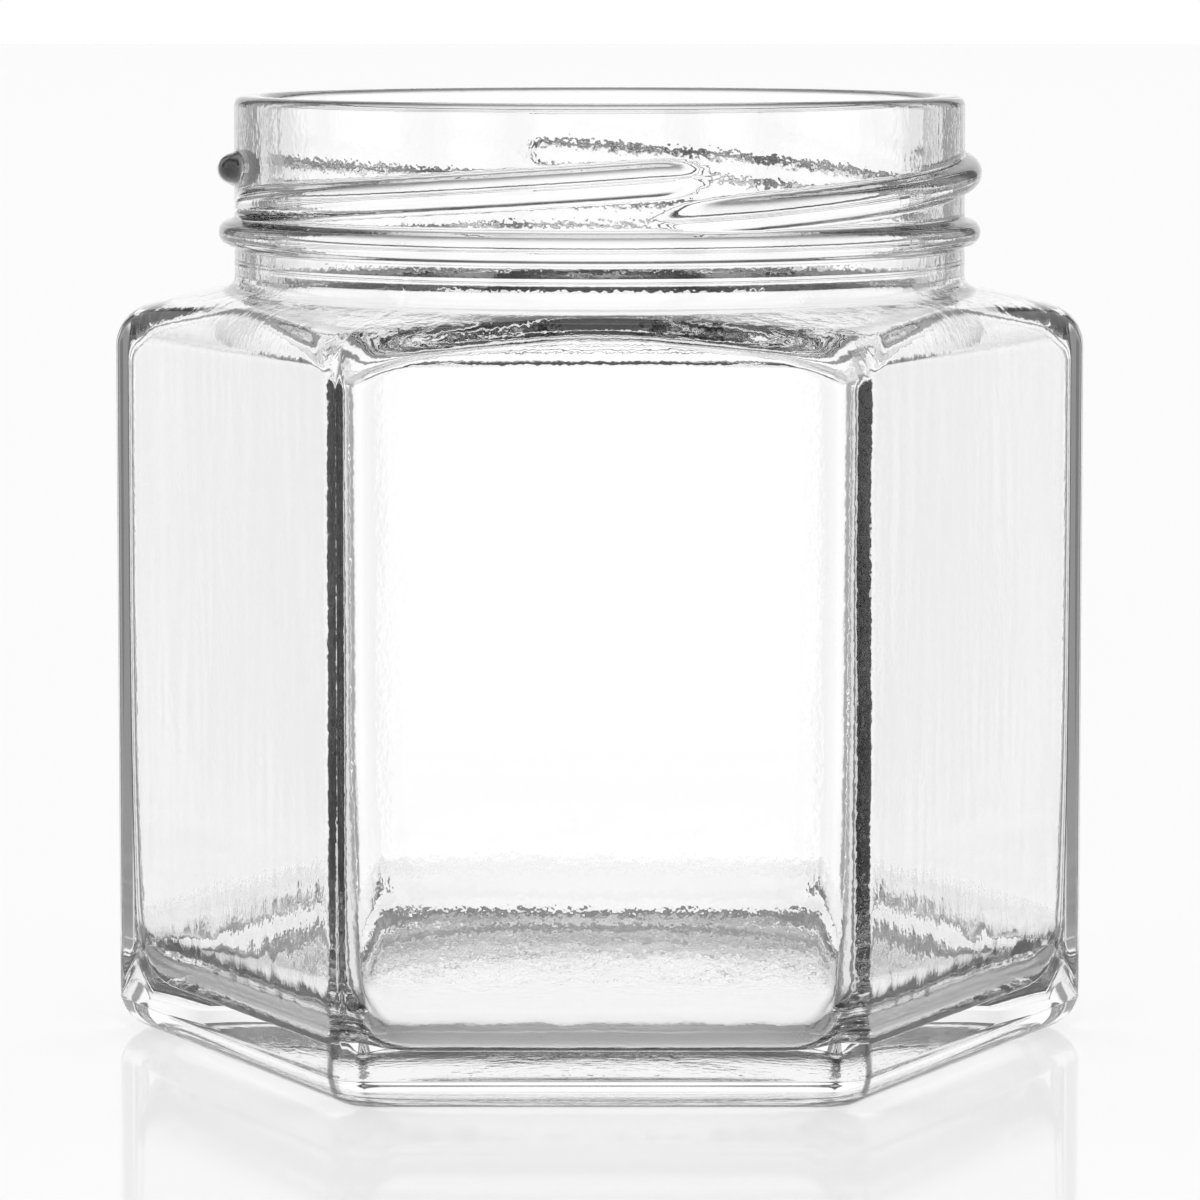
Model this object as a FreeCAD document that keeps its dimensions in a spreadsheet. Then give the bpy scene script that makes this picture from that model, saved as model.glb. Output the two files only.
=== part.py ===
import FreeCAD, Part
import math
import os
import Sketcher

# A hexagonal canning jar of clear pressed glass, in millimetres: one solid.
# The base is centred on the origin, a flat panel faces -Y and two corners lie on X.

DIMENSIONS = [
    # body
    ("across_flats", 70.1, "outside width from panel to opposite panel"),
    ("jar_height", 77.7, "table to top of rim"),
    ("corner_radius", 3.0, "outside radius of the upright corners"),
    ("heel_radius", 3.0, "round from the panels to the underside"),
    ("shoulder_slope", 12.5, "degrees that the shoulder falls away from the neck"),
    ("panel_round", 3.8, "round from the panels to the shoulder"),
    ("corner_round", 3.6, "round from the upright corners to the shoulder"),
    # cavity
    ("wall_thickness", 2.4, "glass in the middle of a panel"),
    ("heel_thickening", 0.5, "extra glass in the panels just above the inside floor"),
    ("inner_corner_radius", 2.2, "inside radius of the upright corners at the top"),
    ("inner_corner_widening", 1.0, "growth of that radius down to the inside floor"),
    ("floor_height", 3.8, "edge of the inside floor above the table"),
    ("floor_dome", 0.9, "rise of the inside floor to its middle"),
    ("floor_dome_radius", 24.0, "radius of that rise"),
    ("inner_heel_radius", 6.0, "round from the inside floor to the walls"),
    ("shoulder_thickness", 2.1, "glass between the two shoulder crowns"),
    ("inner_panel_round", 2.4, "round from the inside walls to the inside shoulder"),
    ("inner_corner_round", 3.0, "round from the inside corners to the inside shoulder"),
    ("push_up_radius", 26.0, "round hollow in the underside"),
    ("push_up_depth", 1.2, "depth of that hollow"),
    # finish: everything the lid touches
    ("neck_diameter", 60.2, "plain wall of the finish"),
    ("neck_wall", 2.6, "glass between the finish and the bore"),
    ("finish_height", 15.9, "shoulder crown to top of rim"),
    ("flare_radius", 1.2, "fillet from the shoulder to the neck"),
    ("inner_flare_radius", 3.0, "round from the inside shoulder to the bore"),
    ("rim_radius", 0.8, "rounds at both edges of the rim"),
    ("bead_drop", 11.2, "rim to the middle of the transfer bead"),
    ("bead_radius", 1.1, "section of the transfer bead"),
    ("bead_projection", 1.3, "bead beyond the neck wall"),
    ("thread_drop", 7.4, "rim to the middle of a thread"),
    ("thread_radius", 1.25, "section of a thread"),
    ("thread_projection", 1.4, "thread beyond the neck wall"),
    ("thread_lead", 13.0, "rise of a thread in one full turn"),
    ("thread_starts", 4, "threads round the finish"),
    ("thread_sweep", 97.0, "degrees that one thread covers"),
    ("thread_lead_in", 16.0, "degrees in which a thread rises out of the wall"),
    ("thread_run_out", 5.0, "degrees in which its blunt end closes"),
    ("thread_phase", -82.0, "degrees from the front panel to a thread's start"),
]

HEEL_STEPS = 5
WALL_STEPS = 4
CORNER_STEPS = 3
PANEL_STEPS = 5
THREAD_BODY_STEPS = 7
CORNERS = 6
NEARLY_ROUND = 0.99

doc = FreeCAD.newDocument("HexagonalCanningJar")
sheet = doc.addObject("Spreadsheet::Sheet", "Dimensions")
for row, (alias, number, note) in enumerate(DIMENSIONS, start=1):
    sheet.set(f"A{row}", alias)
    sheet.set(f"B{row}", str(number))
    sheet.set(f"C{row}", note)
    sheet.setAlias(f"B{row}", alias)
doc.recompute()


def dim(text):
    """Turns {alias} in an expression into a reference to the sheet."""
    for alias, number, note in DIMENSIONS:
        text = text.replace("{" + alias + "}", "Dimensions." + alias)
    return text


def amount(text):
    """The present value of an expression."""
    return float(sheet.evalExpression(dim(text)))


# Heights and radii that follow from the driving dimensions.
APOTHEM = "({across_flats} / 2)"
INNER_APOTHEM = "({across_flats} / 2 - {wall_thickness})"
NECK_RADIUS = "({neck_diameter} / 2)"
BORE_RADIUS = "({neck_diameter} / 2 - {neck_wall})"
FLARE_MIDDLE = f"({NECK_RADIUS} + {{flare_radius}})"
FLARE_HEIGHT = "({jar_height} - {finish_height} + {flare_radius})"
CROWN_RADIUS = f"({FLARE_MIDDLE} - {{flare_radius}} * sin({{shoulder_slope}}))"
CROWN_HEIGHT = f"({FLARE_HEIGHT} - {{flare_radius}} * cos({{shoulder_slope}}))"
INNER_FLARE_MIDDLE = f"({BORE_RADIUS} + {{inner_flare_radius}})"
INNER_FLARE_HEIGHT = (
    "({jar_height} - {finish_height} - {shoulder_thickness} + {inner_flare_radius})"
)
INNER_CROWN_RADIUS = (
    f"({INNER_FLARE_MIDDLE} - {{inner_flare_radius}} * sin({{shoulder_slope}}))"
)
INNER_CROWN_HEIGHT = (
    f"({INNER_FLARE_HEIGHT} - {{inner_flare_radius}} * cos({{shoulder_slope}}))"
)


def corner_reach(apothem, rounding):
    """Reach of a rounded hexagon at its corners."""
    return f"(({apothem} - {rounding}) / cos(30) + {rounding})"


def turn_height(wall, rounding, crown):
    """Height at which a wall starts to turn into the sloping shoulder."""
    radius, height = crown
    meet = f"({height} - ({wall} - {radius}) * tan({{shoulder_slope}}))"
    return f"({meet} - {rounding} * tan(45 - {{shoulder_slope}} / 2))"


jar = doc.addObject("PartDesign::Body", "Jar")
jar.Label = "jar"


def origin_plane(role):
    for item in jar.Origin.OriginFeatures:
        if item.Role == role:
            return item
    raise ValueError(role)


def new_sketch(name, role="XY_Plane", height="0"):
    sketch = jar.newObject("Sketcher::SketchObject", name)
    sketch.AttachmentSupport = (origin_plane(role), "")
    sketch.MapMode = "FlatFace"
    if height != "0":
        sketch.setExpression("AttachmentOffset.Base.z", dim(height))
    return sketch


def drive(sketch, constraint, expression):
    """Adds a driving constraint and binds its value to the sheet."""
    index = sketch.addConstraint(constraint)
    sketch.setExpression(f"Constraints[{index}]", dim(expression))


def rounded_hexagon(name, height, apothem, corner):
    """Hexagon with rounded corners in a level sketch, flats across Y."""
    sketch = new_sketch(name, "XY_Plane", height)
    radius = amount(corner)
    spread = (amount(apothem) - radius) / math.cos(math.pi / CORNERS)
    middles = []
    for i in range(CORNERS):
        turn = 2 * math.pi * i / CORNERS
        middles.append(FreeCAD.Vector(spread * math.cos(turn), spread * math.sin(turn), 0))
    arcs = []
    for i, middle in enumerate(middles):
        turn = 2 * math.pi * i / CORNERS
        circle = Part.Circle(middle, FreeCAD.Vector(0, 0, 1), radius)
        half = math.pi / CORNERS
        arcs.append(Part.ArcOfCircle(circle, turn - half, turn + half))
    lines = []
    for i, arc in enumerate(arcs):
        following = arcs[(i + 1) % CORNERS]
        lines.append(Part.LineSegment(arc.EndPoint, following.StartPoint))
    sketch.addGeometry(arcs + lines, False)
    for i in range(CORNERS):
        line = CORNERS + i
        following = (i + 1) % CORNERS
        sketch.addConstraint(Sketcher.Constraint("Tangent", i, 2, line, 1))
        sketch.addConstraint(Sketcher.Constraint("Tangent", line, 2, following, 1))
    for i in range(1, CORNERS):
        sketch.addConstraint(Sketcher.Constraint("Equal", 0, i))
        sketch.addConstraint(Sketcher.Constraint("Equal", CORNERS, CORNERS + i))
    sketch.addConstraint(Sketcher.Constraint("PointOnObject", 0, 3, -1))
    spread_rule = f"({apothem} - {corner}) / cos(30)"
    for i in range(CORNERS):
        drive(sketch, Sketcher.Constraint("Distance", -1, 1, i, 3, spread), spread_rule)
    drive(sketch, Sketcher.Constraint("Radius", 0, radius), corner)
    return sketch


def loft(kind, name, sections):
    feature = jar.newObject(kind, name)
    feature.Profile = sections[0]
    feature.Sections = sections[1:]
    feature.Ruled = False
    doc.recompute()
    return feature


def heel_sections(name, floor, apothem, radius, corner):
    """Sections up a quarter round, from the floor to the upright panels."""
    sections = []
    for step in range(HEEL_STEPS + 1):
        angle = 90 * step / HEEL_STEPS
        inset = f"{radius} * (1 - sin({angle}))"
        height = f"{floor} + {radius} * (1 - cos({angle}))"
        section = rounded_hexagon(f"{name}{step}", height, f"({apothem} - {inset})", corner)
        sections.append(section)
    return sections


def wall_sections(name, bottom, top):
    """Sections down the inside walls, which thicken towards the inside floor."""
    sections = []
    for step in range(WALL_STEPS + 1):
        fall = step / WALL_STEPS
        height = f"({top} + ({bottom} - {top}) * {fall:.4f})"
        growth = fall**4
        apothem = f"({INNER_APOTHEM} - {{heel_thickening}} * {growth:.5f})"
        corner = f"({{inner_corner_radius}} + {{inner_corner_widening}} * {growth:.5f})"
        sections.append(rounded_hexagon(f"{name}{step}", height, apothem, corner))
    return sections


def shoulder_section(name, height, flat, reach):
    """Section with the given reach at its flats and at its corners."""
    widest = f"max({reach}; {flat})"
    rounding = f"({flat} / cos(30) - {widest}) / (1 / cos(30) - 1)"
    rounding = f"min({rounding}; {NEARLY_ROUND} * {flat})"
    return rounded_hexagon(name, height, flat, f"({rounding})")


def shoulder_lofts(kind, name, walls, crown):
    """Two lofts: the corners turn in first, then the flats down to the neck's round."""
    flat, corner, panel_round, corner_round = walls
    crown_radius, crown_height = crown
    low = turn_height(corner, corner_round, crown)
    turn = turn_height(flat, panel_round, crown)

    def corner_at(height):
        rest = f"max({corner_round} ^ 2 - ({height} - {low}) ^ 2; 0)"
        on_round = f"({corner} - {corner_round} + sqrt({rest}))"
        on_slope = f"({crown_radius} + ({crown_height} - {height}) / tan({{shoulder_slope}}))"
        limit = f"{low} + {corner_round} * cos({{shoulder_slope}})"
        return f"({height} < {limit} ? {on_round} : {on_slope})"

    corners = []
    for step in range(CORNER_STEPS + 1):
        height = f"({low} + ({turn} - {low}) * {step / CORNER_STEPS:.4f})"
        sketch = shoulder_section(f"{name}Corner{step}", height, flat, corner_at(height))
        corners.append(sketch)
    loft(kind, f"{name}Corners", corners)
    flats = []
    for step in range(PANEL_STEPS + 1):
        angle = f"((90 - {{shoulder_slope}}) * {step / PANEL_STEPS:.4f})"
        height = f"({turn} + {panel_round} * sin({angle}))"
        reach = f"({flat} - {panel_round} * (1 - cos({angle})))"
        sketch = shoulder_section(f"{name}Flat{step}", height, reach, corner_at(height))
        flats.append(sketch)
    flats.append(shoulder_section(f"{name}Crown", crown_height, crown_radius, crown_radius))
    loft(kind, f"{name}Flats", flats)


def outline(sketch, points, arcs):
    """Closed outline through points; arcs maps an edge's number to its (centre, turn)."""
    edges = []
    for i, start in enumerate(points):
        end = points[(i + 1) % len(points)]
        if i not in arcs:
            edges.append(Part.LineSegment(start, end))
            continue
        centre, anticlockwise = arcs[i]
        first = math.atan2(start.y - centre.y, start.x - centre.x)
        last = math.atan2(end.y - centre.y, end.x - centre.x)
        circle = Part.Circle(centre, FreeCAD.Vector(0, 0, 1), (start - centre).Length)
        if anticlockwise:
            edges.append(Part.ArcOfCircle(circle, first, last))
        else:
            edges.append(Part.ArcOfCircle(circle, last, first))
    sketch.addGeometry(edges, False)
    for i in range(len(points)):
        after = (i + 1) % len(points)
        end = 1 if i in arcs and not arcs[i][1] else 2
        begin = 2 if after in arcs and not arcs[after][1] else 1
        sketch.addConstraint(Sketcher.Constraint("Coincident", i, end, after, begin))


def place(sketch, edge, corner, x, y):
    """Ties one point of the sketch to a radius and a height from the sheet."""
    drive(sketch, Sketcher.Constraint("DistanceX", -1, 1, edge, corner, amount(x)), x)
    drive(sketch, Sketcher.Constraint("DistanceY", -1, 1, edge, corner, amount(y)), y)


def point(x, y):
    return FreeCAD.Vector(amount(x), amount(y), 0)


# Body: heel, upright panels and shoulder.
loft(
    "PartDesign::AdditiveLoft",
    "Heel",
    heel_sections("HeelSection", "0", APOTHEM, "{heel_radius}", "{corner_radius}"),
)
panels = jar.newObject("PartDesign::Pad", "Panels")
panels.Profile = rounded_hexagon("PanelSketch", "{heel_radius}", APOTHEM, "{corner_radius}")
CROWN = (CROWN_RADIUS, CROWN_HEIGHT)
CORNER_REACH = corner_reach(APOTHEM, "{corner_radius}")
WALL_TOP = turn_height(CORNER_REACH, "{corner_round}", CROWN)
panels.setExpression("Length", dim(f"{WALL_TOP} - {{heel_radius}}"))
shoulder_lofts(
    "PartDesign::AdditiveLoft",
    "Shoulder",
    (APOTHEM, CORNER_REACH, "{panel_round}", "{corner_round}"),
    CROWN,
)

# Neck: flare, plain wall, transfer bead and rim, turned about Z.
BEAD_HEIGHT = "({jar_height} - {bead_drop})"
BEAD_MIDDLE = f"({NECK_RADIUS} + {{bead_projection}} - {{bead_radius}})"
BEAD_HALF = "sqrt({bead_radius} ^ 2 - ({bead_radius} - {bead_projection}) ^ 2)"
neck_sketch = new_sketch("NeckSketch", "XZ_Plane")
neck_corners = [
    ("0", CROWN_HEIGHT),
    (CROWN_RADIUS, CROWN_HEIGHT),
    (NECK_RADIUS, FLARE_HEIGHT),
    (NECK_RADIUS, f"{BEAD_HEIGHT} - {BEAD_HALF}"),
    (NECK_RADIUS, f"{BEAD_HEIGHT} + {BEAD_HALF}"),
    (NECK_RADIUS, "{jar_height} - {rim_radius}"),
    (f"{NECK_RADIUS} - {{rim_radius}}", "{jar_height}"),
    ("0", "{jar_height}"),
]
neck_arcs = {
    1: (FLARE_MIDDLE, FLARE_HEIGHT, False),
    3: (BEAD_MIDDLE, BEAD_HEIGHT, True),
    5: (f"{NECK_RADIUS} - {{rim_radius}}", "{jar_height} - {rim_radius}", True),
}


def turned_outline(sketch, corners, arcs):
    """Outline of a turned shape, with every corner and arc centre driven by the sheet."""
    placed_arcs = {}
    for edge, (x, y, anticlockwise) in arcs.items():
        placed_arcs[edge] = (point(x, y), anticlockwise)
    outline(sketch, [point(x, y) for x, y in corners], placed_arcs)
    for edge, (x, y) in enumerate(corners):
        start = 2 if edge in arcs and not arcs[edge][2] else 1
        place(sketch, edge, start, x, y)
    for edge, (x, y, anticlockwise) in arcs.items():
        upright_chord = corners[edge][0] == corners[edge + 1][0]
        axis, near = ("DistanceX", x) if upright_chord else ("DistanceY", y)
        drive(sketch, Sketcher.Constraint(axis, -1, 1, edge, 3, amount(near)), near)


turned_outline(neck_sketch, neck_corners, neck_arcs)
neck = jar.newObject("PartDesign::Revolution", "Neck")
neck.Profile = neck_sketch
neck.ReferenceAxis = (neck_sketch, ["V_Axis"])
neck.Angle = 360
doc.recompute()

# Threads: a round section carried up a helix. It rises slowly out of the wall at its
# start and closes in a blunt end.
def thread_stations():
    """(degrees along one thread, share of its height, share of its girth)."""
    stations = []
    for share in (0.06, 0.25, 0.45, 0.7):
        rise = share * share * (3 - 2 * share)
        stations.append((f"{{thread_lead_in}} * {share}", rise, 1.0))
    plain = "({thread_sweep} - {thread_lead_in} - {thread_run_out})"
    for step in range(THREAD_BODY_STEPS + 1):
        share = step / THREAD_BODY_STEPS
        stations.append((f"{{thread_lead_in}} + {plain} * {share:.5f}", 1.0, 1.0))
    for left in (0.6, 0.3, 0.08):
        size = math.sqrt(1 - (1 - left) ** 2)
        stations.append((f"{{thread_sweep}} - {{thread_run_out}} * {left}", size, size))
    return stations


thread_sections = []
for number, (swing, tall, thick) in enumerate(thread_stations()):
    level = (
        "({jar_height} - {thread_drop}"
        f" + {{thread_lead}} * ({swing} - {{thread_sweep}} / 2) / 360)"
    )
    girth = f"({{thread_radius}} * {thick:.5f})"
    middle = f"({NECK_RADIUS} + {{thread_projection}} * {tall:.5f} - {girth})"
    section = new_sketch(f"ThreadSection{number}", "XZ_Plane")
    normal = FreeCAD.Vector(0, 0, 1)
    circle = Part.Circle(point(middle, level), normal, amount(girth))
    section.addGeometry(circle, False)
    place(section, 0, 3, middle, level)
    drive(section, Sketcher.Constraint("Radius", 0, amount(girth)), girth)
    section.AttachmentOffset = FreeCAD.Placement(
        FreeCAD.Vector(0, 0, 0), FreeCAD.Rotation(FreeCAD.Vector(0, 1, 0), 1)
    )
    turn = f"{{thread_phase}} - 90 + {swing}"
    section.setExpression("AttachmentOffset.Rotation.Angle", dim(turn))
    thread_sections.append(section)
thread = loft("PartDesign::AdditiveLoft", "Thread", thread_sections)
threads = jar.newObject("PartDesign::PolarPattern", "Threads")
threads.Originals = [thread]
threads.Axis = (origin_plane("Z_Axis"), [""])
threads.Angle = 360
threads.setExpression("Occurrences", dim("{thread_starts}"))
jar.Tip = threads
doc.recompute()

# Cavity: inside floor, walls, shoulder and bore.
LOW_INNER_APOTHEM = f"({INNER_APOTHEM} - {{heel_thickening}})"
LOW_INNER_CORNER = "({inner_corner_radius} + {inner_corner_widening})"
loft(
    "PartDesign::SubtractiveLoft",
    "InnerHeel",
    heel_sections(
        "InnerHeelSection",
        "{floor_height}",
        LOW_INNER_APOTHEM,
        "{inner_heel_radius}",
        LOW_INNER_CORNER,
    ),
)
INNER_CROWN = (INNER_CROWN_RADIUS, INNER_CROWN_HEIGHT)
INNER_REACH = corner_reach(INNER_APOTHEM, "{inner_corner_radius}")
INNER_WALL_TOP = turn_height(INNER_REACH, "{inner_corner_round}", INNER_CROWN)
INNER_WALL_BASE = "({floor_height} + {inner_heel_radius})"
loft(
    "PartDesign::SubtractiveLoft",
    "InnerWalls",
    wall_sections("InnerWallSection", INNER_WALL_BASE, INNER_WALL_TOP),
)
shoulder_lofts(
    "PartDesign::SubtractiveLoft",
    "InnerShoulder",
    (INNER_APOTHEM, INNER_REACH, "{inner_panel_round}", "{inner_corner_round}"),
    INNER_CROWN,
)
bore_sketch = new_sketch("BoreSketch", "XZ_Plane")
bore_corners = [
    ("0", INNER_CROWN_HEIGHT),
    (INNER_CROWN_RADIUS, INNER_CROWN_HEIGHT),
    (BORE_RADIUS, INNER_FLARE_HEIGHT),
    (BORE_RADIUS, "{jar_height} - {rim_radius}"),
    (f"{BORE_RADIUS} + {{rim_radius}}", "{jar_height}"),
    ("0", "{jar_height}"),
]
bore_arcs = {
    1: (INNER_FLARE_MIDDLE, INNER_FLARE_HEIGHT, False),
    3: (f"{BORE_RADIUS} + {{rim_radius}}", "{jar_height} - {rim_radius}", False),
}
turned_outline(bore_sketch, bore_corners, bore_arcs)
bore = jar.newObject("PartDesign::Groove", "Bore")
bore.Profile = bore_sketch
bore.ReferenceAxis = (bore_sketch, ["V_Axis"])
bore.Angle = 360
doc.recompute()


def cap_radius(reach, depth):
    """Radius of the sphere of which a shallow cap is a part."""
    return f"(({reach} ^ 2 + {depth} ^ 2) / (2 * {depth}))"


# Inside floor: a shallow rise towards its middle.
dome_sketch = new_sketch("FloorDomeSketch", "XZ_Plane")
DOME_TOP = "({floor_height} + {floor_dome})"
dome_corners = [
    ("0", "({floor_height} - {floor_dome})"),
    ("{floor_dome_radius}", "({floor_height} - {floor_dome})"),
    ("{floor_dome_radius}", "{floor_height}"),
    ("0", DOME_TOP),
]
DOME_SPHERE = cap_radius("{floor_dome_radius}", "{floor_dome}")
dome_arcs = {2: ("0", f"{DOME_TOP} - {DOME_SPHERE}", True)}
turned_outline(dome_sketch, dome_corners, dome_arcs)
dome = jar.newObject("PartDesign::Revolution", "FloorDome")
dome.Profile = dome_sketch
dome.ReferenceAxis = (dome_sketch, ["V_Axis"])
dome.Angle = 360
doc.recompute()

# Underside: a shallow round hollow, so that the jar stands on its outer band.
DISH_RADIUS = cap_radius("{push_up_radius}", "{push_up_depth}")
push_up_sketch = new_sketch("PushUpSketch", "XZ_Plane")
push_up_corners = [
    ("0", "0"),
    ("{push_up_radius}", "0"),
    ("0", "{push_up_depth}"),
]
push_up_arcs = {1: ("0", f"{{push_up_depth}} - {DISH_RADIUS}", True)}
turned_outline(push_up_sketch, push_up_corners, push_up_arcs)
push_up = jar.newObject("PartDesign::Groove", "PushUp")
push_up.Profile = push_up_sketch
push_up.ReferenceAxis = (push_up_sketch, ["V_Axis"])
push_up.Angle = 360
jar.Tip = push_up
doc.recompute()

for item in doc.Objects:
    if "Invalid" in item.State or "Error" in item.State:
        raise RuntimeError(f"{item.Name} failed")
shape = jar.Shape
if shape.isNull() or not shape.isValid() or len(shape.Solids) != 1:
    raise RuntimeError("the jar is not one valid solid")
print("jar box", shape.BoundBox, "volume", round(shape.Volume), "faces", len(shape.Faces))

os.makedirs("parts", exist_ok=True)
shape.exportStep("parts/jar.step")
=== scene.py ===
"""Empty hexagonal jar of clear glass on a white floor, in a bright studio."""
import math

import bpy
import numpy as np
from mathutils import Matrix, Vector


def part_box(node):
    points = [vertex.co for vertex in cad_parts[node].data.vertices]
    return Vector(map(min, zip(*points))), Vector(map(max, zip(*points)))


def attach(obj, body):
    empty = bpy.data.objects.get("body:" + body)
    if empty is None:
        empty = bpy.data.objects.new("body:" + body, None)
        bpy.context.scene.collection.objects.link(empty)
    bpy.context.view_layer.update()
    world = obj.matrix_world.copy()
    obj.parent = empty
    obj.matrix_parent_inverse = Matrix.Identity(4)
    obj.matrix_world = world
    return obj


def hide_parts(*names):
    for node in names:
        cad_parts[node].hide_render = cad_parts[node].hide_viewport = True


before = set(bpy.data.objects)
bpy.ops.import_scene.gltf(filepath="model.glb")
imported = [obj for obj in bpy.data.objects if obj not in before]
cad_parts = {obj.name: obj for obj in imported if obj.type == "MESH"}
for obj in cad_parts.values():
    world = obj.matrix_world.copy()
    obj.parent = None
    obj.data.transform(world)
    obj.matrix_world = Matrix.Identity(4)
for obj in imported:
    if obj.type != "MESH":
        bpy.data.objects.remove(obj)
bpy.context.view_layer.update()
jar_low, jar_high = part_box("jar")

# Lengths are in metres, and angles in degrees unless they are converted here.
MM = 0.001

# Camera. Its lens and its shifts are in widths of the picture, and its sensor in mm.
CAMERA_DISTANCE = 441.63 * MM
CAMERA_HEIGHT = 87.89 * MM
CAMERA_PITCH = math.radians(4.50)
SENSOR_WIDTH = 36.0
LENS = 4.4573
SHIFT_RIGHT = 0.0003
SHIFT_DOWN = 0.173592
NEAREST = 10 * MM

# Body. The overall sizes come from the frame's box.
JAR_HEIGHT = jar_high[2]
APOTHEM = (jar_high[1] - jar_low[1]) / 2
CORNER_RADIUS = 3.0 * MM
HEEL_RADIUS = 3.0 * MM
PUSH_UP_RADIUS = 26.0 * MM
PUSH_UP_DEPTH = 1.2 * MM

# Shoulder: its slope, the rounds at its edge and the flare at the foot of the neck.
CROWN_HEIGHT = JAR_HEIGHT - 15.9 * MM
SHOULDER_SLOPE = math.radians(12.5)
PANEL_ROUND = 3.8 * MM
CORNER_ROUND = 3.6 * MM
LEAST_ROUND = 0.1 * MM
FLARE_RADIUS = 1.2 * MM

# Neck, with a transfer bead below the threads.
NECK_RADIUS = 30.1 * MM
RIM_RADIUS = 0.8 * MM
RIM_START = JAR_HEIGHT - RIM_RADIUS
BEAD_HEIGHT = JAR_HEIGHT - 11.2 * MM
BEAD_RADIUS = 1.1 * MM
BEAD_PROJECTION = 1.3 * MM

# Threads: where they lie, how far each climbs and sweeps, and how its ends fade.
THREAD_HEIGHT = JAR_HEIGHT - 7.4 * MM
THREAD_RADIUS = 1.25 * MM
THREAD_PROJECTION = 1.4 * MM
THREAD_LEAD = 13.0 * MM
THREAD_STARTS = 4
THREAD_SWEEP = 97.0
THREAD_PHASE = -172.0
THREAD_LEAD_IN = 16.0
THREAD_RUN_OUT = 7.0
THREAD_BLUNTNESS = 1.3
THREAD_LEAST_SIZE = 0.01

# Fillets at the foot of the bead and the threads, wider above a thread than below it,
# and narrower where the thread begins and ends.
FOOT = 0.3 * MM
UPPER_FOOT = 1.6 * FOOT
FOOT_GROWTH = 3
LEAST_FOOT = 0.05

# Fine ridges left by the mould: up the sides, round the heel and round the collar.
BODY_SEAM = 60.0
NECK_SEAM = 114.4
SEAM_WIDTH = 0.35
SEAM_RIDGE = 0.05 * MM
NECK_SEAM_RIDGE = 0.012 * MM
JOINT_WIDTH = 0.12 * MM
HEEL_JOINT = 2.56 * MM
COLLAR_HEIGHT = 63.9 * MM

# Cavity. Its walls and corners grow heavier towards the heel, by a power of the way down.
BORE_RADIUS = 27.5 * MM
INNER_FLARE = 3.0 * MM
INNER_CROWN = CROWN_HEIGHT - 2.1 * MM
INNER_PANEL_ROUND = 2.4 * MM
INNER_CORNER_ROUND = 3.0 * MM
INNER_APOTHEM = APOTHEM - 2.4 * MM
HEEL_APOTHEM = APOTHEM - 2.9 * MM
INNER_CORNER = 2.2 * MM
HEEL_CORNER = 3.2 * MM
HEEL_SPREAD = 4
INNER_HEEL = 6.0 * MM
FLOOR_HEIGHT = 3.8 * MM
FLOOR_DOME = 0.9 * MM
FLOOR_DOME_RADIUS = 24.0 * MM

# Uneven swell of the blown inner wall: how often each wave goes round, and its climb.
SWELL = 0.05 * MM
SWELL_WAVES = ((2, 0.6), (3, 1.1), (5, 0.9), (8, 1.7), (13, 1.3), (21, 2.3))
SWELL_PACE = 40 * MM
SWELL_FADE = 0.5
SWELL_SEED = 7

# Columns of the mesh: degrees from a corner over its round, then evenly to mid-panel.
CORNER_COLUMNS = (
    0.0, 0.25, 0.5, 0.8, 1.1, 1.4, 1.7, 2.1, 2.5, 2.9, 3.4, 3.9, 4.4, 5.0, 5.3, 5.6, 5.9, 6.3, 7.0)
PANEL_COLUMNS_START = 8.4
PANEL_COLUMNS = 14

# Rings of the mesh along each stretch of the section, from the middle of the underside.
# A ring is a pair: its reach from the axis at each column, and its height.
CENTRE_SHARE = 0.04
PUSH_UP_RINGS = 12
HEEL_TURNS = (0, 10, 20, 30, 40, 50, 60, 68, 75, 79, 81, 82, 83, 85, 90)
PANEL_RINGS = 10
CORNER_ROUND_RINGS = 8
PANEL_ROUND_RINGS = 13
SLOPE_RINGS = 5
FLARE_RINGS = 8
COLLAR_RINGS = (-0.2 * MM, -0.1 * MM, 0.0, 0.1 * MM, 0.2 * MM, 0.3 * MM)
BELOW_BEAD = 1.9 * MM
ABOVE_THREADS = 3.6 * MM
THREAD_RINGS = 60
NECK_TOP_RINGS = 2
RIM_RINGS = 7
BORE_RINGS = 8
INNER_FLARE_RINGS = 11
INNER_WALL_RINGS = 24
INNER_HEEL_RINGS = 14
FLOOR_RINGS = 12
FLOOR_CENTRE_SHARE = 0.05
END_RING = 0.08 * MM
END_SHARE = 0.002

# Glass. Its smears are where the smooth noise runs from one value to the other.
GLASS_INDEX = 1.52
GLASS_ROUGHNESS = 0.012
SMEAR_SCALE = 60.0
SMEAR_START = 0.35
SMEAR_END = 0.7

# Relief of the inside: scale, detail and upright stretch of the noise, and its depth.
WAVES = (90.0, 0.0, 0.6, 0.06 * MM)
STREAKS = (900.0, 0.0, 0.12, 0.02 * MM)
HAMMERED = (420.0, 0.0, 1.0, 0.1 * MM)
GRAIN = (2300.0, 1.0, 0.7, 0.011 * MM)

# Heights between which the hammered band at the cavity's heel sets in and fades.
HAMMERED_START = 5 * MM
HAMMERED_FULL = 7 * MM
HAMMERED_FADES = 9 * MM
HAMMERED_END = 14 * MM

# Studio light, and the share of it that is left after reflections inside the glass. More
# is left of light from above, which starts where the direction's upward part is LOW_END.
CLEAR_LIGHT = 1.05
SHADOW_LIGHT = 0.97
UP_KEEPS = 0.97
ONCE_KEEPS = 0.75
MORE_KEEPS = 0.1
LOW_END = 0.06

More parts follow.
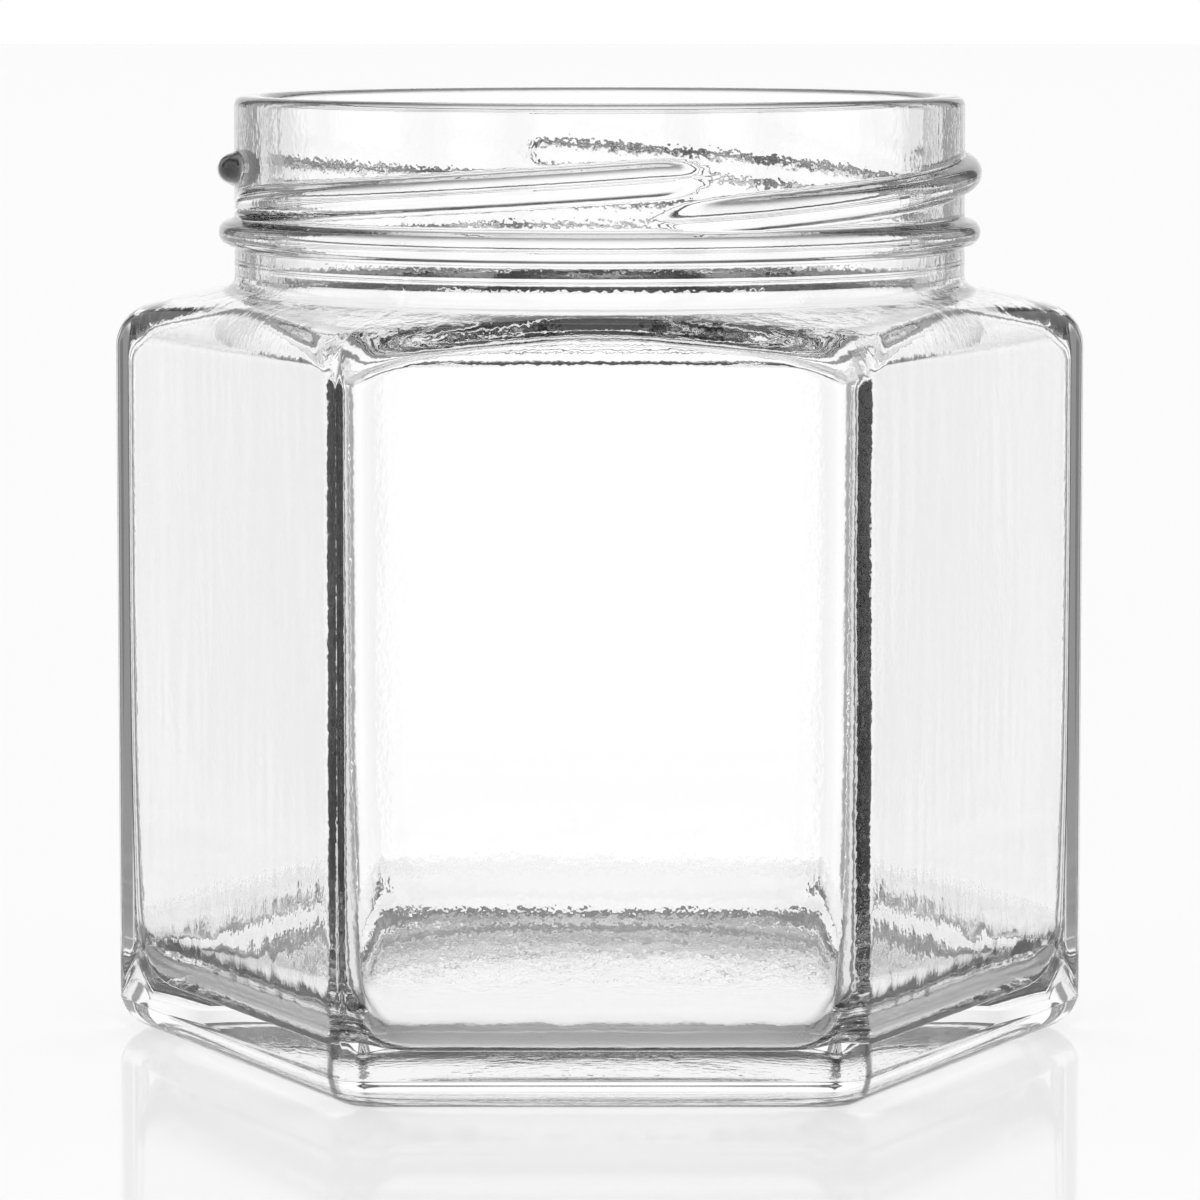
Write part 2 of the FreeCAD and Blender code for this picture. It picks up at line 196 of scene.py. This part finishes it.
# Wide and narrow light panels round the jar. A wave runs through them, and its value
# nears GAP_MIDDLE in the dim gap beside each.
PANEL_PAIRS = 4.0
GAP_MIDDLE = -0.42
GAP_EDGE = 0.25
GAP_FADES = 0.5
GAP_LIGHT = 0.28

# Dim ceiling, and dim light from steeply below, by the upward part of the direction.
CEILING_START = 0.48
CEILING_END = 0.7
CEILING_LIGHT = 0.08
STEEP_START = -0.3
STEEP_END = -0.62
STEEP_LIGHT = 0.28

# Floor. Through the glass it shows near the axis and fades out between NEAR and FAR,
# nearer for what is reflected inside the glass than for what is seen straight on.
FLOOR_SIZE = 12000 * MM
FLOOR_GAP = 0.05 * MM
FLOOR_GLOSS = 0.16
FLOOR_ROUGHNESS = 0.06
# Painted shade: the floor's colour is multiplied by this share for each reflection inside the
# glass on the way to it.
FLOOR_PAINTED_SHADE = 0.55
STRAIGHT_NEAR = 46 * MM
STRAIGHT_FAR = 62 * MM
REFLECTED_NEAR = 30 * MM
REFLECTED_FAR = 42 * MM

# Turns of a ray that the glass needs, and the limit on stray bright points.
LIGHT_BOUNCES = 16
BRIGHTEST_STRAY = 4.0

# Parts of a turn.
SIXTH = math.pi / 3
TWELFTH = math.pi / 6
QUARTER = math.pi / 2

# Inputs of the Mix node that take plain numbers: its factor, its first and its second.
MIX_NUMBERS = (0, 2, 3)


def make_camera():
    """Camera in front of the jar, a little above its rim and tilted down."""
    data = bpy.data.cameras.new("camera")
    data.sensor_width = SENSOR_WIDTH
    data.lens = LENS * SENSOR_WIDTH
    data.shift_x = SHIFT_RIGHT
    data.shift_y = -SHIFT_DOWN
    data.clip_start = NEAREST
    camera = bpy.data.objects.new("camera", data)
    camera.location = (0, -CAMERA_DISTANCE, CAMERA_HEIGHT)
    camera.rotation_euler = (QUARTER - CAMERA_PITCH, 0, 0)
    bpy.context.scene.collection.objects.link(camera)
    bpy.context.scene.camera = camera


def column_angles():
    """Angles round the jar, close together where its corners turn."""
    panel = np.linspace(PANEL_COLUMNS_START, 30.0, PANEL_COLUMNS)
    half = CORNER_COLUMNS + tuple(panel)
    sector = [-step for step in reversed(half[1:-1])] + list(half)
    return np.radians([60 * corner + step for corner in range(6) for step in sector])


ANGLES = column_angles()


def smoothstep(x):
    """Smooth climb from 0 to 1 as x goes from 0 to 1."""
    x = np.clip(x, 0.0, 1.0)
    return x * x * (3 - 2 * x)


def hexagon(apothem, corner):
    """Reach of a hexagon with round corners, the first of them on X."""
    local = np.mod(ANGLES, SIXTH)
    local = np.where(local > TWELFTH, SIXTH - local, local)
    spread = (apothem - corner) / math.cos(TWELFTH)
    root = np.maximum(corner ** 2 - (spread * np.sin(local)) ** 2, 0.0)
    on_arc = spread * np.cos(local) + np.sqrt(root)
    on_flat = apothem / np.cos(TWELFTH - local)
    arc_end = np.arctan2(corner / 2, spread + corner * math.cos(TWELFTH))
    return np.where(local <= arc_end, on_arc, on_flat)


def corner_reach(flat, rounding):
    """Reach of a rounded hexagon at its corners."""
    return (flat - rounding) / math.cos(TWELFTH) + rounding


def hexagon_between(flat, corner):
    """Rounded hexagon that reaches the given radii at its flats and at its corners."""
    stretch = 1 / math.cos(TWELFTH)
    rounding = (flat * stretch - corner) / (stretch - 1)
    return hexagon(flat, np.clip(rounding, LEAST_ROUND, flat))


def circle(reach, height):
    """Round ring."""
    return np.full_like(ANGLES, reach), height


def arc_rings(centre, height, radius, start, end, count):
    """Round rings along an arc in the section of the jar."""
    turns = np.radians(np.linspace(start, end, count))
    return [circle(centre + radius * math.cos(turn), height + radius * math.sin(turn))
            for turn in turns]


def heel_rings(base, apothem, radius, corner, degrees):
    """Rings of the quarter round between a floor and the panels."""
    rings = []
    for turn in np.radians(degrees):
        inset = radius * (1 - math.sin(turn))
        height = base + radius * (1 - math.cos(turn))
        rings.append((hexagon(apothem - inset, corner), height))
    return rings


def straight(start, end, count):
    """Heights along a straight wall, with one ring close to each end to hold it flat."""
    edge = math.copysign(END_RING, end - start)
    return [start + edge] + list(np.linspace(start, end, count + 2)[1:-1]) + [end - edge]


def cap(reach, radius, depth):
    """Height of a shallow round cap above the level of its edge."""
    sphere = (radius ** 2 + depth ** 2) / (2 * depth)
    root = np.maximum(sphere ** 2 - np.minimum(reach, radius) ** 2, 0.0)
    return depth - sphere + np.sqrt(root)


def flare_foot(neck, base, flare):
    """Radius and height at which the sloping shoulder meets the flare of a neck."""
    radius = neck + flare - flare * math.sin(SHOULDER_SLOPE)
    height = base + flare * (1 - math.cos(SHOULDER_SLOPE))
    return radius, height


def shoulder_start(wall, rounding, crown):
    """Height at which a wall starts to turn into the sloping shoulder."""
    radius, height = crown
    meet = height - (wall - radius) * math.tan(SHOULDER_SLOPE)
    return meet - rounding * math.tan((QUARTER - SHOULDER_SLOPE) / 2)


def shoulder_reach(height, wall, rounding, crown):
    """Radius of wall, rounded edge and sloping shoulder at one height."""
    start = shoulder_start(wall, rounding, crown)
    if height <= start:
        return wall
    if height < start + rounding * math.cos(SHOULDER_SLOPE):
        return wall - rounding + math.sqrt(rounding ** 2 - (height - start) ** 2)
    return crown[0] + (crown[1] - height) / math.tan(SHOULDER_SLOPE)


def shoulder_rings(flat, corner, flat_round, corner_round, crown):
    """Rings from the hexagon of the walls to the circle of the neck."""
    low = shoulder_start(corner, corner_round, crown)
    turn = shoulder_start(flat, flat_round, crown)
    high = turn + flat_round * math.cos(SHOULDER_SLOPE)
    rounded = np.linspace(0, QUARTER - SHOULDER_SLOPE, PANEL_ROUND_RINGS)
    heights = list(np.linspace(low, turn, CORNER_ROUND_RINGS)[:-1])
    heights += list(turn + flat_round * np.sin(rounded))
    heights += list(np.linspace(high, crown[1], SLOPE_RINGS)[1:])
    rings = []
    for height in heights:
        at_flat = shoulder_reach(height, flat, flat_round, crown)
        at_corner = shoulder_reach(height, corner, corner_round, crown)
        rings.append((hexagon_between(at_flat, max(at_corner, at_flat)), height))
    return rings


def mould_seam(degrees, ridge):
    """Ridge where two halves of the mould met, on both sides of the jar."""
    away = np.mod(np.degrees(ANGLES) - degrees + 90, 180) - 90
    return ridge * np.exp(-(away / SEAM_WIDTH) ** 2)


def mould_joint(height, level):
    """Ridge all round where two parts of the mould met."""
    return SEAM_RIDGE * math.exp(-((height - level) / JOINT_WIDTH) ** 2)


def half_round(offset, radius):
    """Rise of a round ridge beside its middle, with a soft foot that runs on below it."""
    root = radius ** 2 - offset ** 2
    return np.where(root > 0, np.sqrt(np.abs(root)), root / radius)


def blend_out(a, b, width):
    """The larger of two radii, with a small fillet where they cross."""
    mix = np.clip(0.5 + (b - a) / (2 * width), 0, 1)
    return a * (1 - mix) + b * mix + width * mix * (1 - mix)


def add_thread(reach, height, first):
    """Radius of the neck with one more thread, which climbs from its first angle."""
    along = np.mod(np.degrees(ANGLES) - first, 360.0)
    level = THREAD_HEIGHT + THREAD_LEAD * (along - THREAD_SWEEP / 2) / 360
    rise = smoothstep(along / THREAD_LEAD_IN)
    left = np.clip((THREAD_SWEEP - along) / THREAD_RUN_OUT, 0, 1)
    size = np.sqrt(1 - (1 - left) ** 2)
    radius = THREAD_RADIUS * np.maximum(size, THREAD_LEAST_SIZE)
    top = THREAD_PROJECTION * rise * smoothstep(left * THREAD_BLUNTNESS) - radius
    crest = NECK_RADIUS + top + half_round(height - level, radius)
    foot = np.where(height > level, UPPER_FOOT, FOOT)
    foot = foot * np.clip(rise * size * FOOT_GROWTH, LEAST_FOOT, 1)
    return np.where(along < THREAD_SWEEP, blend_out(reach, crest, foot), reach)


def neck_reach(height):
    """Radius of the neck: plain wall, transfer bead and threads, softly joined."""
    bead = NECK_RADIUS + BEAD_PROJECTION - BEAD_RADIUS
    bead = bead + half_round(height - BEAD_HEIGHT, BEAD_RADIUS)
    reach = blend_out(np.full_like(ANGLES, NECK_RADIUS), bead, FOOT)
    for start in range(THREAD_STARTS):
        reach = add_thread(reach, height, THREAD_PHASE + 360.0 * start / THREAD_STARTS)
    return reach


def push_up_rings():
    """Hollow of the underside, from its middle to its edge."""
    reaches = np.linspace(CENTRE_SHARE, 1, PUSH_UP_RINGS) * PUSH_UP_RADIUS
    return [circle(reach, cap(reach, PUSH_UP_RADIUS, PUSH_UP_DEPTH)) for reach in reaches]


def body_rings():
    """Heel, panels and shoulder, up to the end of the neck's flare."""
    corner = corner_reach(APOTHEM, CORNER_RADIUS)
    crown = flare_foot(NECK_RADIUS, CROWN_HEIGHT, FLARE_RADIUS)
    wall_top = shoulder_start(corner, CORNER_ROUND, crown)
    wall = hexagon(APOTHEM, CORNER_RADIUS)
    rings = heel_rings(0.0, APOTHEM, HEEL_RADIUS, CORNER_RADIUS, HEEL_TURNS)
    rings += [(wall, height) for height in straight(HEEL_RADIUS, wall_top, PANEL_RINGS)]
    rings += shoulder_rings(APOTHEM, corner, PANEL_ROUND, CORNER_ROUND, crown)
    flare = arc_rings(
        NECK_RADIUS + FLARE_RADIUS, CROWN_HEIGHT + FLARE_RADIUS, FLARE_RADIUS,
        270 - math.degrees(SHOULDER_SLOPE), 180, FLARE_RINGS)
    return rings + flare[1:]


def neck_rings():
    """Collar, bead and threads, up to the rim."""
    threads_top = THREAD_HEIGHT + ABOVE_THREADS
    heights = straight(CROWN_HEIGHT + FLARE_RADIUS, COLLAR_HEIGHT - COLLAR_RINGS[-1], 0)
    heights += [COLLAR_HEIGHT + step for step in COLLAR_RINGS]
    heights += list(np.linspace(BEAD_HEIGHT - BELOW_BEAD, threads_top, THREAD_RINGS))
    heights += straight(threads_top, RIM_START, NECK_TOP_RINGS)
    return [(neck_reach(height), height) for height in heights]


def outer_rings():
    """Rings from the middle of the underside up to the top of the rim."""
    body_seam = mould_seam(BODY_SEAM, SEAM_RIDGE)
    neck_seam = mould_seam(NECK_SEAM, NECK_SEAM_RIDGE)
    rings = push_up_rings()
    for reach, height in body_rings():
        rings.append((reach + body_seam + mould_joint(height, HEEL_JOINT), height))
    for reach, height in neck_rings():
        seam = body_seam if height < COLLAR_HEIGHT else neck_seam
        rings.append((reach + seam + mould_joint(height, COLLAR_HEIGHT), height))
    return rings + arc_rings(
        NECK_RADIUS - RIM_RADIUS, RIM_START, RIM_RADIUS, 0, 90, RIM_RINGS)


def swell_waves():
    """Waves of the inner wall: turns round the jar, climb up it and phase of each."""
    draws = np.random.default_rng(SWELL_SEED)
    waves = []
    for turns, rise in SWELL_WAVES:
        phase, lean = draws.uniform(0, 2 * math.pi, 2)
        waves.append((turns, rise * 2 * math.pi / SWELL_PACE * np.cos(lean), phase))
    return waves


def inner_wall_rings(top):
    """Inside of the panels, from the shoulder down to the cavity's heel."""
    waves = swell_waves()
    base = FLOOR_HEIGHT + INNER_HEEL
    between = np.linspace(1, 0, INNER_WALL_RINGS)[1:-1]
    rings = []
    for share in [1 - END_SHARE] + list(between) + [END_SHARE]:
        height = base + (top - base) * share
        spread = (1 - share) ** HEEL_SPREAD
        flat = INNER_APOTHEM + (HEEL_APOTHEM - INNER_APOTHEM) * spread
        corner = INNER_CORNER + (HEEL_CORNER - INNER_CORNER) * spread
        swell = sum(
            np.sin(turns * ANGLES + phase + climb * height) / turns
            for turns, climb, phase in waves)
        size = SWELL * math.sin(math.pi * share) ** SWELL_FADE
        rings.append((hexagon(flat, corner) + size * swell, height))
    return rings


def cavity_floor_rings():
    """Round heel of the cavity and its domed floor, to near the middle."""
    turns = np.linspace(90, 0, INNER_HEEL_RINGS)
    rings = heel_rings(FLOOR_HEIGHT, HEEL_APOTHEM, INNER_HEEL, HEEL_CORNER, turns)
    edge = rings[-1][0]
    for share in np.linspace(1, FLOOR_CENTRE_SHARE, FLOOR_RINGS)[1:]:
        reach = edge * share
        rings.append((reach, FLOOR_HEIGHT + cap(reach, FLOOR_DOME_RADIUS, FLOOR_DOME)))
    return rings


def inner_rings():
    """Rings from the top of the rim down the bore and the walls to the cavity's floor."""
    corner = corner_reach(INNER_APOTHEM, INNER_CORNER)
    crown = flare_foot(BORE_RADIUS, INNER_CROWN, INNER_FLARE)
    flare_height = INNER_CROWN + INNER_FLARE
    rings = arc_rings(BORE_RADIUS + RIM_RADIUS, RIM_START, RIM_RADIUS, 90, 180, RIM_RINGS)
    rings += [circle(BORE_RADIUS, height)
              for height in straight(RIM_START, flare_height, BORE_RINGS)]
    rings += arc_rings(
        BORE_RADIUS + INNER_FLARE, flare_height, INNER_FLARE,
        180, 270 - math.degrees(SHOULDER_SLOPE), INNER_FLARE_RINGS)
    shoulder = shoulder_rings(
        INNER_APOTHEM, corner, INNER_PANEL_ROUND, INNER_CORNER_ROUND, crown)
    rings += shoulder[::-1][1:]
    rings += inner_wall_rings(shoulder_start(corner, INNER_CORNER_ROUND, crown))
    return rings + cavity_floor_rings()


def ring_points(rings):
    """Points of the rings, one ring after the other."""
    points = np.zeros((len(rings), len(ANGLES), 3))
    for row, (reach, height) in enumerate(rings):
        points[row, :, 0] = reach * np.cos(ANGLES)
        points[row, :, 1] = reach * np.sin(ANGLES)
        points[row, :, 2] = height
    return points.reshape(-1, 3)


def ring_faces(rows):
    """Quads between the rings, and fans that close the underside and the floor."""
    columns = len(ANGLES)
    base_middle = rows * columns
    floor_middle = base_middle + 1
    last = base_middle - columns
    neighbours = [(column, (column + 1) % columns) for column in range(columns)]
    faces = []
    for low in range(0, last, columns):
        high = low + columns
        for column, after in neighbours:
            faces.append((low + column, low + after, high + after, high + column))
    for column, after in neighbours:
        faces.append((base_middle, after, column))
        faces.append((floor_middle, last + column, last + after))
    return faces


def build_jar():
    """The jar's glass as one closed mesh, whose inside is marked for its relief."""
    outside = outer_rings()
    rings = outside + inner_rings()
    middles = [(0.0, 0.0, PUSH_UP_DEPTH), (0.0, 0.0, FLOOR_HEIGHT + FLOOR_DOME)]
    points = np.vstack([ring_points(rings), middles])
    mesh = bpy.data.meshes.new("jar_glass")
    mesh.from_pydata(points.tolist(), [], ring_faces(len(rings)))
    mesh.validate()
    mesh.polygons.foreach_set("use_smooth", [True] * len(mesh.polygons))
    marks = np.zeros(len(points))
    marks[len(outside) * len(ANGLES):] = 1.0
    marks[-2] = 0.0
    inside = mesh.attributes.new("inside", "FLOAT", "POINT")
    inside.data.foreach_set("value", marks)
    jar = bpy.data.objects.new("jar_glass", mesh)
    bpy.context.scene.collection.objects.link(jar)
    return jar


def feed(tree, slot, value):
    """Gives an input its value, or links it to another node's output."""
    if isinstance(value, bpy.types.NodeSocket):
        tree.links.new(value, slot)
    else:
        slot.default_value = value


def add_node(tree, kind, **inputs):
    """New node, with its inputs by name and an underscore for each space."""
    made = tree.nodes.new(kind)
    for name, value in inputs.items():
        feed(tree, made.inputs[name.replace("_", " ")], value)
    return made


def math_node(tree, operation, first, second=0.0):
    """Result of one operation on two values."""
    made = tree.nodes.new("ShaderNodeMath")
    made.operation = operation
    feed(tree, made.inputs[0], first)
    feed(tree, made.inputs[1], second)
    return made.outputs[0]


def product(tree, value, *others):
    """Product of two or more values."""
    for other in others:
        value = math_node(tree, "MULTIPLY", value, other)
    return value


def at_least(tree, depth, count):
    """1 where a ray has turned at least this many times, and 0 elsewhere."""
    return math_node(tree, "GREATER_THAN", depth, count - 0.5)


def mix_values(tree, factor, first, second):
    """Number that goes from the first to the second as the factor goes from 0 to 1."""
    made = tree.nodes.new("ShaderNodeMix")
    for slot, value in zip(MIX_NUMBERS, (factor, first, second)):
        feed(tree, made.inputs[slot], value)
    return made.outputs[0]


def mix_shaders(tree, factor, first, second):
    """Surface that goes from the first to the second as the factor goes from 0 to 1."""
    made = tree.nodes.new("ShaderNodeMixShader")
    for slot, value in zip(made.inputs, (factor, first, second)):
        feed(tree, slot, value)
    return made.outputs[0]


def map_range(tree, value, start, end, first, last):
    """Smooth climb from first to last as the value goes from start to end."""
    made = add_node(
        tree, "ShaderNodeMapRange",
        Value=value, From_Min=start, From_Max=end, To_Min=first, To_Max=last)
    made.interpolation_type = "SMOOTHSTEP"
    return made.outputs["Result"]


def noise(tree, place, scale, detail, upright=1.0):
    """Noise by place in the jar, drawn out along Z where upright is less than 1."""
    mapped = add_node(tree, "ShaderNodeMapping", Vector=place, Scale=(1, 1, upright))
    made = add_node(
        tree, "ShaderNodeTexNoise", Vector=mapped.outputs["Vector"], Scale=scale, Detail=detail)
    return made.outputs["Fac"]


def add_relief(tree, place, relief, share, under=None):
    """Normal of a surface with one more relief, as deep as its share at each point."""
    scale, detail, upright, depth = relief
    made = add_node(
        tree, "ShaderNodeBump", Strength=1.0,
        Height=noise(tree, place, scale, detail, upright), Distance=product(tree, share, depth))
    if under is not None:
        feed(tree, made.inputs["Normal"], under)
    return made.outputs["Normal"]


def glass_material():
    """Clear glass: fire-polished outside, grained and wavy where the plunger blew it."""
    material = bpy.data.materials.new("clear_glass")
    material.use_nodes = True
    tree = material.node_tree
    tree.nodes.clear()
    place = tree.nodes.new("ShaderNodeTexCoord").outputs["Object"]
    height = add_node(tree, "ShaderNodeSeparateXYZ", Vector=place).outputs["Z"]
    mark = tree.nodes.new("ShaderNodeAttribute")
    mark.attribute_name = "inside"
    inside = mark.outputs["Fac"]
    above = map_range(tree, height, HAMMERED_START, HAMMERED_FULL, 0.0, 1.0)
    below = map_range(tree, height, HAMMERED_FADES, HAMMERED_END, 1.0, 0.0)
    normal = add_relief(tree, place, WAVES, inside)
    normal = add_relief(tree, place, STREAKS, inside, normal)
    normal = add_relief(tree, place, HAMMERED, product(tree, inside, above, below), normal)
    normal = add_relief(tree, place, GRAIN, inside, normal)
    smears = noise(tree, place, SMEAR_SCALE, 0.0)
    glass = add_node(
        tree, "ShaderNodeBsdfPrincipled",
        Base_Color=(1, 1, 1, 1), Transmission_Weight=1.0, IOR=GLASS_INDEX, Normal=normal,
        Roughness=map_range(tree, smears, SMEAR_START, SMEAR_END, 0.0, GLASS_ROUGHNESS))
    add_node(tree, "ShaderNodeOutputMaterial", Surface=glass.outputs["BSDF"])
    return material


def inner_bounces(tree, path):
    """Reflections inside the glass on the way to this light."""
    entered = at_least(tree, path.outputs["Transmission Depth"], 1)
    return math_node(tree, "MULTIPLY", path.outputs["Glossy Depth"], entered)


def kept_light(tree, bounces, up):
    """Share left after reflections in the glass, less of it for light from low down."""
    once = mix_values(tree, at_least(tree, bounces, 1), 1.0, ONCE_KEEPS)
    low = mix_values(tree, at_least(tree, bounces, 2), once, MORE_KEEPS)
    high = math_node(tree, "POWER", UP_KEEPS, bounces)
    return mix_values(tree, map_range(tree, up, 0.0, LOW_END, 1.0, 0.0), high, low)


def panel_light(tree, x, y):
    """Light panels round the jar, and the gaps between them."""
    azimuth = math_node(tree, "ARCTAN2", y, x)
    wave = math_node(tree, "COSINE", math_node(tree, "MULTIPLY", azimuth, PANEL_PAIRS))
    away = math_node(tree, "ABSOLUTE", math_node(tree, "SUBTRACT", wave, GAP_MIDDLE))
    return map_range(tree, away, GAP_EDGE, GAP_FADES, GAP_LIGHT, 1.0)


def ceiling_light(tree, bounces, up):
    """Dim ceiling, but not for light reflected once inside the glass."""
    ceiling = map_range(tree, up, CEILING_START, CEILING_END, 1.0, CEILING_LIGHT)
    return mix_values(tree, math_node(tree, "COMPARE", bounces, 1.0), ceiling, 1.0)


def light_studio():
    """White studio by direction, and plain white where the camera sees past the jar."""
    world = bpy.data.worlds.new("studio")
    bpy.context.scene.world = world
    world.use_nodes = True
    tree = world.node_tree
    tree.nodes.clear()
    path = tree.nodes.new("ShaderNodeLightPath")
    direction = tree.nodes.new("ShaderNodeTexCoord").outputs["Generated"]
    x, y, up = add_node(tree, "ShaderNodeSeparateXYZ", Vector=direction).outputs
    bounces = inner_bounces(tree, path)
    steep = map_range(tree, up, STEEP_END, STEEP_START, STEEP_LIGHT, 1.0)
    studio = product(
        tree, kept_light(tree, bounces, up), panel_light(tree, x, y), CLEAR_LIGHT, steep,
        ceiling_light(tree, bounces, up))
    matt = at_least(tree, path.outputs["Diffuse Depth"], 1)
    light = mix_values(tree, matt, studio, SHADOW_LIGHT)
    light = mix_values(tree, path.outputs["Is Camera Ray"], light, 1.0)
    background = add_node(tree, "ShaderNodeBackground", Color=light, Strength=1.0)
    add_node(tree, "ShaderNodeOutputWorld", Surface=background.outputs["Background"])


def floor_material():
    """Glossy white floor that shows through the glass only close to the jar, with painted shade:
    seen after reflections inside the glass, its colour is darker for each of them.
    """
    material = bpy.data.materials.new("floor")
    material.use_nodes = True
    tree = material.node_tree
    tree.nodes.clear()
    path = tree.nodes.new("ShaderNodeLightPath")
    position = tree.nodes.new("ShaderNodeNewGeometry").outputs["Position"]
    x, y, _ = add_node(tree, "ShaderNodeSeparateXYZ", Vector=position).outputs
    square = math_node(tree, "ADD", product(tree, x, x), product(tree, y, y))
    reach = math_node(tree, "SQRT", square)
    bounces = inner_bounces(tree, path)
    straight_on = map_range(tree, reach, STRAIGHT_NEAR, STRAIGHT_FAR, 0.0, 1.0)
    reflected = map_range(tree, reach, REFLECTED_NEAR, REFLECTED_FAR, 0.0, 1.0)
    far = mix_values(tree, at_least(tree, bounces, 1), straight_on, reflected)
    matt = at_least(tree, path.outputs["Diffuse Depth"], 1)
    # Painted shade: seen after reflections inside the glass, the floor's colour darkens by a share
    # for each one.
    painted_floor_shade = mix_values(tree, matt, math_node(tree, "POWER", FLOOR_PAINTED_SHADE, bounces), 1.0)
    paint = add_node(tree, "ShaderNodeBsdfDiffuse", Color=painted_floor_shade)
    gloss = add_node(
        tree, "ShaderNodeBsdfAnisotropic", Color=(1, 1, 1, 1), Roughness=FLOOR_ROUGHNESS)
    surface = mix_shaders(tree, FLOOR_GLOSS, paint.outputs["BSDF"], gloss.outputs["BSDF"])
    clear = tree.nodes.new("ShaderNodeBsdfTransparent")
    through_glass = at_least(tree, path.outputs["Transmission Depth"], 1)
    whole = mix_shaders(
        tree, product(tree, through_glass, far), surface, clear.outputs["BSDF"])
    add_node(tree, "ShaderNodeOutputMaterial", Surface=whole)
    return material


def make_floor():
    """Wide floor just under the jar."""
    bpy.ops.mesh.primitive_plane_add(size=FLOOR_SIZE, location=(0, 0, -FLOOR_GAP))
    floor = bpy.context.object
    floor.name = "floor"
    floor.data.materials.append(floor_material())
    return floor


def set_render():
    """Plain colours, and enough turns of a ray for glass seen through glass."""
    scene = bpy.context.scene
    scene.view_settings.view_transform = "Standard"
    scene.cycles.max_bounces = LIGHT_BOUNCES
    scene.cycles.transmission_bounces = LIGHT_BOUNCES
    scene.cycles.glossy_bounces = LIGHT_BOUNCES
    scene.cycles.sample_clamp_indirect = BRIGHTEST_STRAY
    scene.cycles.blur_glossy = 0.0


make_camera()

jar = build_jar()
jar.data.materials.append(glass_material())
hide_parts("jar")
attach(jar, "root")

light_studio()
make_floor()
set_render()
